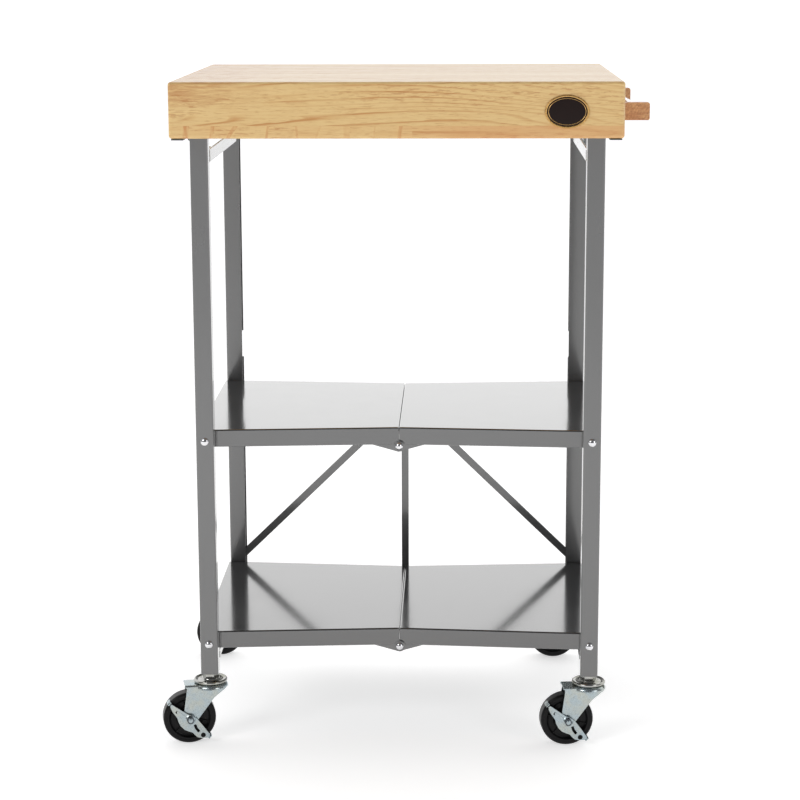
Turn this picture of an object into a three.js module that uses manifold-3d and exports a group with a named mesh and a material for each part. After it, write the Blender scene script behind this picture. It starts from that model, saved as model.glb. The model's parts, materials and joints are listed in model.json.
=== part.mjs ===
// Butcher block table: a folding kitchen cart with a thick wooden slab, two folding steel
// shelves, four legs and four casters. Millimetres, +Z up, the front faces -Y.
import * as THREE from 'three';
import { mergeVertices } from 'three/addons/utils/BufferGeometryUtils.js';
import Module from 'manifold-3d';

const wasm = await Module();
wasm.setup();

// ---- driving dimensions ----
const GAP = 0.3;                 // between parts that touch
const SLAB = { width: 614, depth: 526, lower: 17, upper: 58.7, bottom: 874, edge: 4.5 };
const LEG = { size: 25, wall: 1.6, bottom: 102, topGap: 1, frontX: 272.5, rearX: 270.5 };
const LEG_Y = 201.5;             // centre line of the legs, front and rear
const NOTCH = { low: 491, high: 533 };
const RAIL = { thick: 3, innerX: 260, topLow: 836, topHigh: 854, bottomLow: 119, bottomHigh: 131 };
const PIVOT_X = 272.5;           // shelf pivots on the legs
const PIVOT_Z = { mid: 445, low: 147 };
const PIN_DROP = 16;             // centre pins hang this much below the leg pivots
const PANEL = { sheet: 1.5, top: 12, bottom: -13, halfDepth: 187, centreHalfDepth: 167, straight: 17.5 };
const PANEL_END = 13;            // outer end of a panel beyond its leg pivot
const NOTCH_R = 9;               // half-round cut in the panel edges around a centre pin
const LUG = { reach: 45, radius: 8, thick: 2, outerY: 163.2, innerY: 160.8 };
const PIN = { radius: 3, hole: 3.4, head: 5.2 };
const BOLT = { radius: 3, hole: 3.4, head: 5.8, dome: 3.6 };
const LINK = { width: 10, thick: 3, y: 172 };
const BRACE = { width: 10, thick: 3, leftY: 193, rightY: 196.4, footX: 266, footZ: 166, apexZ: 424 };
const SLIDER = { low: 395, high: 415, halfX: 9, front: 169.4, back: 178.2 };
const ROD = { x: 332, z: 905, radius: 4.5 };
const BLOCK = { outX: 346.5, low: 893, high: 917, depth: 20, frontY: -185 };
const PLAQUE = { x: 229.5, z: 910, width: 60, height: 45, thick: 1.6, rim: 2.4 };
const STRAP = { inner: 287, outer: 304, thick: 2, reach: 261 };
const HINGE = { x: -288, z: 868.3, y: 150, knuckle: 3.1, pin: 1.6, bore: 1.9, halfLength: 30 };
const WHEEL = { radius: 38, width: 22, trail: 32, bore: 3.7 };
const SWIVEL = { front_left: 12, front_right: 7, rear_left: 0, rear_right: 0 }; // degrees from -X
const CUP = { low: 88.9, radius: 24.5, plug: 20 };
const BRAKE_TILT = 0.75;         // radians; the lever's left end is up
const FORK = { inner: 12.6, plate: 2.2, crownTop: 50.5, crownThick: 2, crownBack: 6, crownRadius: 23.5 };
const FORK_EYE = 10;             // radius of a fork's lower end around the axle

// ---- materials ----
const mat = (color, roughness, metalness) => new THREE.MeshStandardMaterial({ color, roughness, metalness });
const honeyWood = () => mat(0xd9ae72, 0.5, 0);
const brownWood = () => mat(0xb9794a, 0.55, 0);
const greyPaint = () => mat(0x777779, 0.4, 0.3);
const shelfPaint = () => mat(0x8a8b8d, 0.2, 0.6);
const chrome = () => mat(0xd8d8da, 0.12, 1);
const zinc = () => mat(0xaab1b8, 0.35, 0.9);
const rubber = () => mat(0x1d1d1f, 0.6, 0);
const plaqueFinish = () => mat(0x3a241a, 0.4, 0.3);

// ---- solids ----
const object = new THREE.Group();
const cart = new THREE.Group();
object.add(cart);

// Turns a closed three.js geometry into a manifold solid, for cutting and joining.
function solid(geometry) {
  const bare = geometry.clone();
  bare.deleteAttribute('normal');
  bare.deleteAttribute('uv');
  const merged = mergeVertices(bare, 1e-4);
  const vertProperties = new Float32Array(merged.attributes.position.array);
  const triVerts = new Uint32Array(merged.index.array);
  return new wasm.Manifold(new wasm.Mesh({ numProp: 3, vertProperties, triVerts }));
}

function geometryOf(manifold) {
  const mesh = manifold.getMesh();
  const geometry = new THREE.BufferGeometry();
  geometry.setAttribute('position', new THREE.BufferAttribute(new Float32Array(mesh.vertProperties), 3));
  geometry.setIndex(new THREE.BufferAttribute(new Uint32Array(mesh.triVerts), 1));
  geometry.computeVertexNormals();
  return geometry;
}

// Joins the first list of geometries and takes the second list away.
function joined(adds, cuts = []) {
  let body = solid(adds[0]);
  for (const extra of adds.slice(1)) body = body.add(solid(extra));
  for (const cut of cuts) body = body.subtract(solid(cut));
  return geometryOf(body);
}

function place(name, geometry, material, parent = cart) {
  const mesh = new THREE.Mesh(geometry, material);
  mesh.name = name;
  parent.add(mesh);
  return mesh;
}

// A box from its low corner to its high corner.
function block(x0, y0, z0, x1, y1, z1) {
  return new THREE.BoxGeometry(x1 - x0, y1 - y0, z1 - z0)
    .translate((x0 + x1) / 2, (y0 + y1) / 2, (z0 + z1) / 2);
}

// A round bar along Y through (x, z).
function barY(x, z, radius, y0, y1, segments = 14) {
  return new THREE.CylinderGeometry(radius, radius, y1 - y0, segments).translate(x, (y0 + y1) / 2, z);
}

// An outline in X and Z, given thickness from y0 to y1.
function slabY(shape, y0, y1, curveSegments = 7) {
  const depth = y1 - y0;
  return new THREE.ExtrudeGeometry(shape, { depth, bevelEnabled: false, curveSegments })
    .rotateX(Math.PI / 2).translate(0, y1, 0);
}

// A profile of [radius, y] points turned around the Y direction through (x, z).
function turnedY(profile, x, z, segments = 12) {
  const points = profile.map(([radius, y]) => new THREE.Vector2(radius, y));
  return new THREE.LatheGeometry(points, segments).translate(x, 0, z);
}

function roundedOutline(x0, z0, x1, z1, radius) {
  const shape = new THREE.Shape();
  shape.moveTo(x0 + radius, z0);
  shape.lineTo(x1 - radius, z0);
  shape.absarc(x1 - radius, z0 + radius, radius, -Math.PI / 2, 0);
  shape.lineTo(x1, z1 - radius);
  shape.absarc(x1 - radius, z1 - radius, radius, 0, Math.PI / 2);
  shape.lineTo(x0 + radius, z1);
  shape.absarc(x0 + radius, z1 - radius, radius, Math.PI / 2, Math.PI);
  shape.lineTo(x0, z0 + radius);
  shape.absarc(x0 + radius, z0 + radius, radius, Math.PI, 1.5 * Math.PI);
  return shape;
}

// A flat bar in X and Z with a round eye at each end.
function linkOutline(ax, az, bx, bz, halfWidth) {
  const along = Math.atan2(bz - az, bx - ax);
  const side = Math.PI / 2;
  const shape = new THREE.Shape();
  shape.absarc(ax, az, halfWidth, along + side, along + 3 * side);
  shape.absarc(bx, bz, halfWidth, along - side, along + side);
  return shape;
}

function mirroredX(geometry) {
  return geometry.clone().rotateZ(Math.PI);
}

// ---- wooden slab ----
// A board with rounded plan corners; the outer edge at top or bottom is chamfered.
function boardGeometry(low, high, chamferTop) {
  const { width, depth, edge } = SLAB;
  const size = high - low - edge;
  const [halfX, halfY] = [width / 2 - edge, depth / 2 - edge];
  const outline = roundedOutline(-halfX, -halfY, halfX, halfY, 1);
  const core = new THREE.ExtrudeGeometry(outline, {
    depth: size, bevelEnabled: true, bevelSize: edge, bevelThickness: edge, bevelSegments: 3,
    curveSegments: 4,
  });
  const half = { x: width / 2 + 1, y: depth / 2 + 1 };
  if (chamferTop) {
    core.translate(0, 0, low);
    return joined([core], [block(-half.x, -half.y, low - 2 * edge, half.x, half.y, low)]);
  }
  core.translate(0, 0, low + edge);
  return joined([core], [block(-half.x, -half.y, high, half.x, half.y, high + 2 * edge)]);
}

function addSlab() {
  const seam = SLAB.bottom + SLAB.lower;
  place('slab_lower', boardGeometry(SLAB.bottom, seam, false), honeyWood());
  place('slab_upper', boardGeometry(seam + GAP, seam + GAP + SLAB.upper, true), honeyWood());
}

// ---- plaque: a plain oval plate with a raised rim ----
function ovalOutline(halfWidth, halfHeight) {
  const shape = new THREE.Shape();
  shape.absellipse(PLAQUE.x, PLAQUE.z, halfWidth, halfHeight, 0, 2 * Math.PI);
  return shape;
}

function addPlaque() {
  const face = -SLAB.depth / 2 - GAP;
  const [w, h] = [PLAQUE.width / 2, PLAQUE.height / 2];
  const plate = slabY(ovalOutline(w, h), face - PLAQUE.thick, face, 18);
  const field = slabY(ovalOutline(w - PLAQUE.rim, h - PLAQUE.rim), face - 2 * PLAQUE.thick, face - 1, 18);
  place('plaque', joined([plate], [field]), plaqueFinish());
}

// ---- towel bar ----
function addTowelBar() {
  const inner = SLAB.width / 2 + GAP;
  const outline = roundedOutline(inner, BLOCK.low, BLOCK.outX, BLOCK.high, 1.5);
  const bore = barY(ROD.x, ROD.z, ROD.radius + GAP, BLOCK.frontY + 8, BLOCK.frontY + BLOCK.depth + 1);
  const front = joined([slabY(outline, BLOCK.frontY, BLOCK.frontY + BLOCK.depth, 3)], [bore]);
  place('towel_block_front', front, brownWood());
  const rear = front.clone().scale(1, -1, 1);
  rear.index.array.reverse();
  rear.computeVertexNormals();
  place('towel_block_rear', rear, brownWood());
  const reach = -BLOCK.frontY - 8 - GAP;
  place('towel_rod', barY(ROD.x, ROD.z, ROD.radius, -reach, reach), chrome());
}

// ---- hinge between the slab and the left side frame ----
function addHinges() {
  const strapTop = SLAB.bottom - GAP;
  const strapLow = strapTop - STRAP.thick;
  const { x, z, y, knuckle, pin, bore, halfLength } = HINGE;
  const third = halfLength / 2;
  const { inner, outer, reach } = STRAP;
  const straps = [block(-outer, -reach, strapLow, -inner, reach, strapTop)];
  const bores = [];
  for (const side of [-1, 1]) {
    const centre = side * y;
    for (const end of [-1, 1]) {
      const from = centre + end * (third + GAP);
      const to = centre + end * halfLength;
      straps.push(barY(x, z, knuckle + GAP + 0.2, Math.min(from, to), Math.max(from, to), 16));
    }
    bores.push(barY(x, z, bore, centre - halfLength - 1, centre + halfLength + 1, 16));
  }
  place('hinge_strap', joined(straps, bores), greyPaint());
  place('rest_strap', block(inner, -reach, strapLow, outer, reach, strapTop), greyPaint());
  for (const [name, side] of [['front', -1], ['rear', 1]]) {
    place(`hinge_bracket_${name}`, hingeBracket(side * y, third, pin, halfLength), zinc());
  }
}

// A bent sheet from the left top rail out to the hinge knuckle, with the hinge pin in it.
function hingeBracket(centre, halfKnuckle, pin, halfLength) {
  const railFace = -RAIL.innerX - RAIL.thick - GAP;
  const shelfZ = RAIL.topHigh - 2;
  const [y0, y1] = [centre - halfKnuckle, centre + halfKnuckle];
  return joined([
    block(railFace - 2, y0, RAIL.topLow, railFace, y1, RAIL.topHigh),
    block(HINGE.x + 1, y0, shelfZ, railFace, y1, RAIL.topHigh),
    block(HINGE.x + 1, y0, shelfZ, HINGE.x + 2.8, y1, HINGE.z),
    barY(HINGE.x, HINGE.z, HINGE.knuckle, y0, y1, 16),
    barY(HINGE.x, HINGE.z, pin, centre - halfLength, centre + halfLength, 12),
  ]);
}

// A bent sheet on the right top rail that the slab lies on.
function addRestBracket() {
  const railFace = RAIL.innerX + RAIL.thick + GAP;
  const top = SLAB.bottom - LEG.topGap;
  const outer = railFace + 18;
  place('rest_bracket', joined([
    block(railFace, -60, RAIL.topLow, railFace + 2, 60, top),
    block(railFace, -60, top - 2, outer, 60, top),
  ]), zinc());
}

// ---- legs and side rails ----
function addFrontLeg(name, side) {
  const x = side * LEG.frontX;
  const half = LEG.size / 2;
  const inside = half - LEG.wall;
  const top = SLAB.bottom - LEG.topGap;
  const tube = block(x - half, -LEG_Y - half, LEG.bottom, x + half, -LEG_Y + half, top);
  const [front, back] = [-LEG_Y - inside, -LEG_Y + inside];
  const cuts = [block(x - inside, front, LEG.bottom - 1, x + inside, back, top + 1)];
  for (const z of [PIVOT_Z.mid, PIVOT_Z.low]) {
    cuts.push(barY(x, z, BOLT.hole, -LEG_Y - half - 1, -LEG_Y + half + 1));
  }
  place(name, joined([tube], cuts), greyPaint());
}

// A channel that is open towards the middle of the cart, with a notch in its rear flange.
function addRearLeg(name, side) {
  const x = side * LEG.rearX;
  const half = LEG.size / 2;
  const top = SLAB.bottom - LEG.topGap;
  const web = half - LEG.wall;
  const open = side > 0 ? [x - half - 1, x + web] : [x - web, x + half + 1];
  const cuts = [
    block(open[0], LEG_Y - web, LEG.bottom - 1, open[1], LEG_Y + web, top + 1),
    block(open[0], LEG_Y, NOTCH.low, open[1], LEG_Y + half + 1, NOTCH.high),
    barY(side * BRACE.footX, BRACE.footZ, BOLT.hole, LEG_Y, LEG_Y + half + 1),
  ];
  for (const z of [PIVOT_Z.mid, PIVOT_Z.low]) {
    cuts.push(barY(side * PIVOT_X, z, BOLT.hole, LEG_Y - half - 1, LEG_Y + half + 1));
  }
  const bar = block(x - half, LEG_Y - half, LEG.bottom, x + half, LEG_Y + half, top);
  place(name, joined([bar], cuts), greyPaint());
}

function addRail(name, side, low, high) {
  const halfLength = LEG_Y - LEG.size / 2 - GAP;
  const inner = side * RAIL.innerX;
  const outer = side * (RAIL.innerX + RAIL.thick);
  const [x0, x1] = [Math.min(inner, outer), Math.max(inner, outer)];
  place(name, block(x0, -halfLength, low, x1, halfLength, high), greyPaint());
}

function addSideFrames() {
  for (const [word, side] of [['left', -1], ['right', 1]]) {
    addFrontLeg(`leg_front_${word}`, side);
    addRearLeg(`leg_rear_${word}`, side);
    addRail(`rail_top_${word}`, side, RAIL.topLow, RAIL.topHigh);
    addRail(`rail_bottom_${word}`, side, RAIL.bottomLow, RAIL.bottomHigh);
  }
}

// ---- shelves ----
// Plan outline of a half panel: the pivot is at X = 0 and the centre seam at +X.
function panelOutline(inset) {
  const outer = -PANEL_END + inset;
  const seam = PIVOT_X - GAP / 2 - inset;
  const ends = PANEL.halfDepth - inset;
  const centre = PANEL.centreHalfDepth - inset;
  const shape = new THREE.Shape();
  shape.moveTo(outer, -ends);
  shape.lineTo(PANEL.straight, -ends);
  shape.lineTo(seam, -centre);
  shape.lineTo(seam, centre);
  shape.lineTo(PANEL.straight, ends);
  shape.lineTo(outer, ends);
  shape.closePath();
  return shape;
}

function plateZ(shape, z0, z1) {
  return new THREE.ExtrudeGeometry(shape, { depth: z1 - z0, bevelEnabled: false }).translate(0, 0, z0);
}

// The hinge lug of a half panel: it hangs from the sheet and ends in an eye around the centre pin.
function lugOutline() {
  const { reach, radius } = LUG;
  const sheet = PANEL.top - PANEL.sheet / 2;
  const shape = new THREE.Shape();
  shape.moveTo(PIVOT_X - 6, sheet);
  shape.lineTo(PIVOT_X - reach, sheet);
  shape.lineTo(PIVOT_X - reach, PANEL.bottom + 1);
  shape.absarc(PIVOT_X, -PIN_DROP, radius, 1.42 * Math.PI, 2.5 * Math.PI);
  shape.closePath();
  return shape;
}

// What is cut off below the outer end, so that the end turns around the leg pivot.
function endCut() {
  const shape = new THREE.Shape();
  shape.moveTo(-2 * PANEL_END, 0);
  shape.lineTo(-2 * PANEL_END, 2 * PANEL.bottom);
  shape.lineTo(0, 2 * PANEL.bottom);
  shape.lineTo(0, -PANEL_END);
  shape.absarc(0, 0, PANEL_END, 1.5 * Math.PI, Math.PI, true);
  shape.closePath();
  return shape;
}

function halfPanel() {
  const { sheet, top, bottom, halfDepth } = PANEL;
  const reach = halfDepth + 5;
  const [outer, seam] = [-PANEL_END - 1, PIVOT_X + 1];
  const lug = lugOutline();
  const adds = [
    plateZ(panelOutline(0), bottom, top),
  ];
  const cuts = [
    plateZ(panelOutline(sheet), bottom - 1, top - sheet),
    slabY(endCut(), -reach, reach),
    block(outer, -halfDepth + 8, bottom - 1, outer + 4, halfDepth - 8, 1),
    block(seam - 4, -LUG.innerY + 1, bottom - 1, seam, LUG.innerY - 1, 0),
    barY(PIVOT_X, -PIN_DROP, NOTCH_R, -reach, reach, 20),
    barY(0, 0, BOLT.hole, -reach, reach),
  ];
  const pan = solid(joined(adds, cuts));
  const front = solid(slabY(lug, -LUG.outerY - LUG.thick, -LUG.outerY));
  const rear = solid(slabY(lug, LUG.innerY, LUG.innerY + LUG.thick));
  const holes = solid(barY(PIVOT_X, -PIN_DROP, PIN.hole, -reach, reach));
  return geometryOf(pan.add(front).add(rear).subtract(holes));
}

// Centre pins: [radius, y] from the inside nut out to the domed head.
function frontPinProfile() {
  const head = PANEL.centreHalfDepth - 1.2;
  return [[0, 158], [PIN.head, 158], [PIN.head, 160.5], [PIN.radius, 160.5], [PIN.radius, head],
    [PIN.head, head], [PIN.head, head + 1.4], [3.6, head + 3], [1.6, head + 3.6], [0, head + 3.8]];
}

// The rear pins carry the link bar, so they are longer and hold it between two collars.
function rearPinProfile() {
  const bar = LINK.y;
  return [[0, 158], [PIN.head, 158], [PIN.head, 160.5], [PIN.radius, 160.5], [PIN.radius, 165.8],
    [5, 165.8], [5, bar - GAP], [PIN.radius, bar - GAP], [PIN.radius, bar + LINK.thick + GAP],
    [PIN.head, bar + LINK.thick + GAP], [PIN.head, bar + LINK.thick + 1.6], [0, bar + LINK.thick + 2.6]];
}

// Leg bolt: [radius, y] measured outwards from the cart's middle to the domed head.
function boltProfile() {
  const inside = PANEL.halfDepth - PANEL.sheet - GAP;
  const outside = LEG_Y + LEG.size / 2 + GAP;
  const washer = PANEL.halfDepth + GAP;
  return [[0, inside - 4], [5.2, inside - 4], [5.2, inside], [BOLT.radius, inside], [BOLT.radius, washer],
    [5.5, washer], [5.5, washer + 1.3], [BOLT.radius, washer + 1.3], [BOLT.radius, outside],
    [BOLT.head, outside], [BOLT.head, outside + 0.9], [4.7, outside + 2.2], [2.7, outside + 3.2],
    [0, outside + BOLT.dome]];
}

const outward = (profile, side) => (side > 0 ? profile : profile.map(([r, y]) => [r, -y]).reverse());

function addShelves() {
  const panel = halfPanel();
  const mirrored = mirroredX(panel);
  for (const [level, z] of Object.entries(PIVOT_Z)) {
    place(`shelf_${level}_left`, panel.clone().translate(-PIVOT_X, 0, z), shelfPaint());
    place(`shelf_${level}_right`, mirrored.clone().translate(PIVOT_X, 0, z), shelfPaint());
    const pinZ = z - PIN_DROP;
    place(`centre_pin_${level}_front`, turnedY(outward(frontPinProfile(), -1), 0, pinZ), chrome());
    place(`centre_pin_${level}_rear`, turnedY(rearPinProfile(), 0, pinZ), chrome());
    for (const [row, side] of [['front', -1], ['rear', 1]]) {
      for (const [word, x] of [['left', -PIVOT_X], ['right', PIVOT_X]]) {
        place(`bolt_${level}_${row}_${word}`, turnedY(outward(boltProfile(), side), x, z), chrome());
      }
    }
  }
}

// ---- link bar, slider and braces at the rear ----
function flatLink(ax, az, bx, bz, width, y0, thick) {
  const eyes = [slabY(linkOutline(ax, az, bx, bz, width / 2), y0, y0 + thick)];
  const holes = [];
  for (const [x, z] of [[ax, az], [bx, bz]]) {
    eyes.push(barY(x, z, width / 2 + 1.2, y0, y0 + thick));
    holes.push(barY(x, z, PIN.hole, y0 - 1, y0 + thick + 1, 16));
  }
  return joined(eyes, holes);
}

function braceGeometry(side, y0) {
  const { footX, footZ, apexZ, width, thick } = BRACE;
  const strip = slabY(linkOutline(side * footX, footZ, 0, apexZ, width / 2), y0, y0 + thick);
  const adds = [strip];
  for (const [x, z] of [[side * footX, footZ], [0, apexZ]]) {
    adds.push(barY(x, z, width / 2 + 1.2, y0, y0 + thick));
  }
  const end = y0 + thick;
  if (side > 0) adds.push(turnedY([[0, y0], [5, y0], [5, end + 1.4], [0, end + 2.4]], 0, apexZ));
  return joined(adds, [barY(side * footX, footZ, PIN.hole, y0 - 1, y0 + thick + 1, 16)]);
}

function addSlider() {
  const { low, high, halfX, front, back } = SLIDER;
  const play = GAP + 0.1;
  const bar = { half: LINK.width / 2 + play, y0: LINK.y - play, y1: LINK.y + LINK.thick + play };
  const tongue = roundedOutline(-7, low, 7, BRACE.apexZ + 7, 5);
  place('brace_slider', joined([
    block(-halfX, front, low, halfX, back, high),
    slabY(tongue, back - 0.2, back + 3, 5),
    barY(0, BRACE.apexZ, 5, back, BRACE.leftY - GAP),
  ], [block(-bar.half, bar.y0, low - 1, bar.half, bar.y1, high + 1)]), zinc());
}

// Rivet through the rear flange of a rear leg: [radius, y] out to its head.
function rivetProfile() {
  const flange = LEG_Y + LEG.size / 2 + GAP;
  const face = BRACE.leftY;
  return [[0, face - 2], [5, face - 2], [5, face - GAP], [PIN.radius, face - GAP],
    [PIN.radius, flange], [5, flange], [4, flange + 1.6], [0, flange + 2.2]];
}

function addLinkage() {
  const [topZ, bottomZ] = [PIVOT_Z.mid - PIN_DROP, PIVOT_Z.low - PIN_DROP];
  place('link_bar', flatLink(0, topZ, 0, bottomZ, LINK.width, LINK.y, LINK.thick), greyPaint());
  addSlider();
  place('brace_left', braceGeometry(-1, BRACE.leftY), greyPaint());
  place('brace_right', braceGeometry(1, BRACE.rightY), greyPaint());
  for (const [word, side] of [['left', -1], ['right', 1]]) {
    place(`brace_rivet_${word}`, turnedY(rivetProfile(), side * BRACE.footX, BRACE.footZ), chrome());
  }
}

// ---- casters ----
// Stepped swivel cup with a square plug in the leg, around the leg's centre line.
function cupGeometry() {
  const { low, radius, plug } = CUP;
  const [foot, inside] = [LEG.bottom - GAP, LEG.size / 2 - LEG.wall - GAP];
  const profile = [[0, low], [radius - 3, low], [radius, low + 1.5], [radius, low + 4.5],
    [radius - 3.5, low + 6.5], [16.5, low + 7], [14.5, low + 10.5], [11.5, low + 11.5], [11.5, foot],
    [0, foot]];
  const points = profile.map(([r, z]) => new THREE.Vector2(r, z));
  const cup = new THREE.LatheGeometry(points, 22).rotateX(Math.PI / 2);
  return joined([cup, block(-inside, -inside, foot - 1, inside, inside, foot + plug)]);
}

// Fork around the wheel axle at the origin; the swivel axis is at X = trail.
function forkGeometry() {
  const { inner, plate, crownTop, crownThick, crownBack, crownRadius } = FORK;
  const crown = { x0: -crownBack, x1: WHEEL.trail + 18.5 };
  const arm = new THREE.Shape();
  arm.absarc(0, 0, FORK_EYE, 0.78 * Math.PI, 1.72 * Math.PI);
  arm.lineTo(crown.x1, crownTop - 12);
  arm.lineTo(crown.x1, crownTop);
  arm.lineTo(crown.x0, crownTop);
  arm.closePath();
  const outer = inner + plate;
  const adds = [block(crown.x0, -outer, crownTop - crownThick, crown.x1, outer, crownTop)];
  for (const y0 of [-outer, inner]) adds.push(slabY(arm, y0, y0 + plate));
  adds.push(new THREE.CylinderGeometry(crownRadius, crownRadius, crownThick, 24).rotateX(Math.PI / 2)
    .translate(WHEEL.trail, 0, crownTop - crownThick / 2));
  return joined(adds, [barY(0, 0, 3.5, -outer - 1, outer + 1)]);
}

function wheelGeometry() {
  const { radius, width, bore } = WHEEL;
  const half = width / 2;
  const rim = radius - 7;
  const web = half - 3.5;
  return turnedY([[bore, -half], [9, -half], [11, -web], [rim - 3, -web], [rim, -half], [radius - 2, -half],
    [radius, -half + 2.5], [radius, half - 2.5], [radius - 2, half], [rim, half], [rim - 3, web], [11, web],
    [9, half], [bore, half], [bore, -half]], 0, 0, 24);
}

// Axle bolt with a nut at the front: [radius, y]. A braked caster's axle reaches past the lever.
function axleGeometry(braked) {
  const outer = FORK.inner + FORK.plate + GAP;
  const front = braked ? -outer - 2.6 - GAP : -outer;
  return turnedY([[0, front - 4.2], [3, front - 4.2], [3, front - 3], [6.4, front - 3], [6.4, front],
    [3.2, front], [3.2, outer], [6.8, outer], [6.2, outer + 2.6], [0, outer + 3.2]], 0, 0, 12);
}

// Pressed brake lever on the front of the wheel, with a tab bent over the tread at each end.
function brakeGeometry() {
  const outer = -FORK.inner - FORK.plate - GAP;
  const reach = WHEEL.radius + 3.2;
  const plate = roundedOutline(-reach, -7.5, reach, 7.5, 4);
  const adds = [slabY(plate, outer - 2.3, outer, 4), barY(0, 0, 12.5, outer - 2.3, outer, 24)];
  for (const side of [-1, 1]) {
    const [a, b] = [side * (reach - 2.2), side * reach];
    adds.push(block(Math.min(a, b), outer - 2.3, -6.5, Math.max(a, b), -WHEEL.width / 2 + 6, 6.5));
  }
  const lever = joined(adds, [barY(0, 0, 3.6, outer - 4, outer + 1)]);
  return lever.rotateY(BRAKE_TILT);
}

function addCaster(word, x, y, braked) {
  place(`caster_cup_${word}`, cupGeometry().translate(x, y, 0), chrome());
  const swivel = new THREE.Group();
  swivel.position.set(x, y, 0);
  swivel.rotation.z = THREE.MathUtils.degToRad(SWIVEL[word]);
  cart.add(swivel);
  const hub = [-WHEEL.trail, 0, WHEEL.radius];
  place(`caster_fork_${word}`, forkGeometry().translate(...hub), zinc(), swivel);
  place(`caster_wheel_${word}`, wheelGeometry().translate(...hub), rubber(), swivel);
  place(`caster_axle_${word}`, axleGeometry(braked).translate(...hub), zinc(), swivel);
  if (braked) place(`brake_lever_${word}`, brakeGeometry().translate(...hub), zinc(), swivel);
}

function addCasters() {
  for (const [word, side] of [['left', -1], ['right', 1]]) {
    addCaster(`front_${word}`, side * LEG.frontX, -LEG_Y, true);
    addCaster(`rear_${word}`, side * LEG.rearX, LEG_Y, false);
  }
}

addSlab();
addPlaque();
addTowelBar();
addHinges();
addRestBracket();
addSideFrames();
addShelves();
addLinkage();
addCasters();

// The origin lies under the middle of the whole cart, on the floor.
cart.updateMatrixWorld(true);
const bounds = new THREE.Box3().setFromObject(cart, true);
const middle = bounds.getCenter(new THREE.Vector3());
cart.position.set(-middle.x, -middle.y, -bounds.min.z);

export default object;
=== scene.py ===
"""Folding kitchen cart with a butcher block slab: the looks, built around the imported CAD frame.

Piece functions work in millimetres in the row frame; piece() turns the result into metres.
"""
import json
import math

import bmesh
import bpy
from mathutils import Matrix, Vector


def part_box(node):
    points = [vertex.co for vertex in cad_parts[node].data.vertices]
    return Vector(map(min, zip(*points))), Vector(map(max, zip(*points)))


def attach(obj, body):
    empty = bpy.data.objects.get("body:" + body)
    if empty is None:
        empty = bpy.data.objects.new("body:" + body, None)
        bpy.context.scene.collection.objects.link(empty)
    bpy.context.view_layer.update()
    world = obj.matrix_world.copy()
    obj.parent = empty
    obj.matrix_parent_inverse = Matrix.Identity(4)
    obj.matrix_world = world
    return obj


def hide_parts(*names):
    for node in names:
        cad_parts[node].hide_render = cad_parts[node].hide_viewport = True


MM = 0.001
SIDES = {"left": -1, "right": 1}
ROWS = {"front": -1, "rear": 1}
ORIGIN = (0, 0, 0)

# ---- camera (place in metres, angles in degrees) ----
LENS = 97.95
CAMERA_PLACE = (0.0845, -3.1992, 1.1051)
CAMERA_PITCH = 11.34
CAMERA_YAW = 1.60
CAMERA_ROLL = -0.18

# ---- sizes that the frame doesn't give (millimetres) ----
SLAB_EDGE = 4.0
SLAB_CORNER = 4.0
TUBE_CORNER = 2.6
TUBE_WALL = 1.6
NOTCH = (491, 533)
PANEL_SHEET = 1.5
PANEL_BEND = 2.1
PANEL_END = 13
PANEL_STRAIGHT = 17.5
PANEL_CENTRE_HALF = 167
PANEL_TOP = 12
PANEL_FLANGE = -13
NOTCH_RADIUS = 10.4
LUG_REACH = 45
LUG_RADIUS = 8.2
LUG_THICK = 2
BAR_HALF_WIDTH = 5
BAR_THICK = 3
HEAD_RADIUS = 5.8
SHANK_RADIUS = 3
BOLT_NUT = 9.4             # this and the next three: width across the flats
CENTRE_PIN_NUT = 8.8
AXLE_NUT = 10.8
BRAKE_NUT = 9.6
WASHER_RADIUS = 5.5
AXLE_RADIUS = 3.2
STRAP_THICK = 2
WELD_RADIUS = 2.1
KNUCKLE_RADIUS = 3.1
HINGE_PIN_RADIUS = 1.6
SHEET_BEND = 1.0           # inner bend radius of the brackets
BRACKET_SHEET = 2
LUG_LOW = {("left", "front"): -165.2, ("left", "rear"): 160.8,
           ("right", "front"): -162.8, ("right", "rear"): 163.2}

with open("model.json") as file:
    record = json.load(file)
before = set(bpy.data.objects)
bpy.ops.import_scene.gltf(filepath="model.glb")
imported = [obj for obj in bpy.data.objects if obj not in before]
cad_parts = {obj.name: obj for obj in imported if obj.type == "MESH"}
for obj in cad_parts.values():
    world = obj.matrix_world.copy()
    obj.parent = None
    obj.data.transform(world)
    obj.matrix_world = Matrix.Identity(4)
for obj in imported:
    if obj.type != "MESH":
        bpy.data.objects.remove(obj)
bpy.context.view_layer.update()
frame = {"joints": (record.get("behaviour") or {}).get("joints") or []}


# ---- places read from the frame ----
def span(*nodes):
    """Lowest and highest corner of some CAD nodes together, in millimetres."""
    boxes = [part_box(node) for node in nodes]
    low = Vector([min(box[0][i] for box in boxes) for i in range(3)]) / MM
    high = Vector([max(box[1][i] for box in boxes) for i in range(3)]) / MM
    return low, high


PIVOT = {joint["name"]: Vector(joint["pos_m"]) / MM for joint in frame["joints"] if "pos_m" in joint}


# ---- mesh making ----
def arc(cx, cy, radius, start, end, steps):
    """Points on an arc, in degrees, both ends included."""
    turns = [math.radians(start + (end - start) * i / steps) for i in range(steps + 1)]
    return [(cx + radius * math.cos(t), cy + radius * math.sin(t)) for t in turns]


def rounded_rectangle(x0, y0, x1, y1, radius):
    """An outline from corner to corner, each corner an arc."""
    left, right, low, high = x0 + radius, x1 - radius, y0 + radius, y1 - radius
    centres = ((right, low), (right, high), (left, high), (left, low))
    return [point for k, (x, y) in enumerate(centres)
            for point in arc(x, y, radius, 90 * k - 90, 90 * k, 6)]


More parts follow.
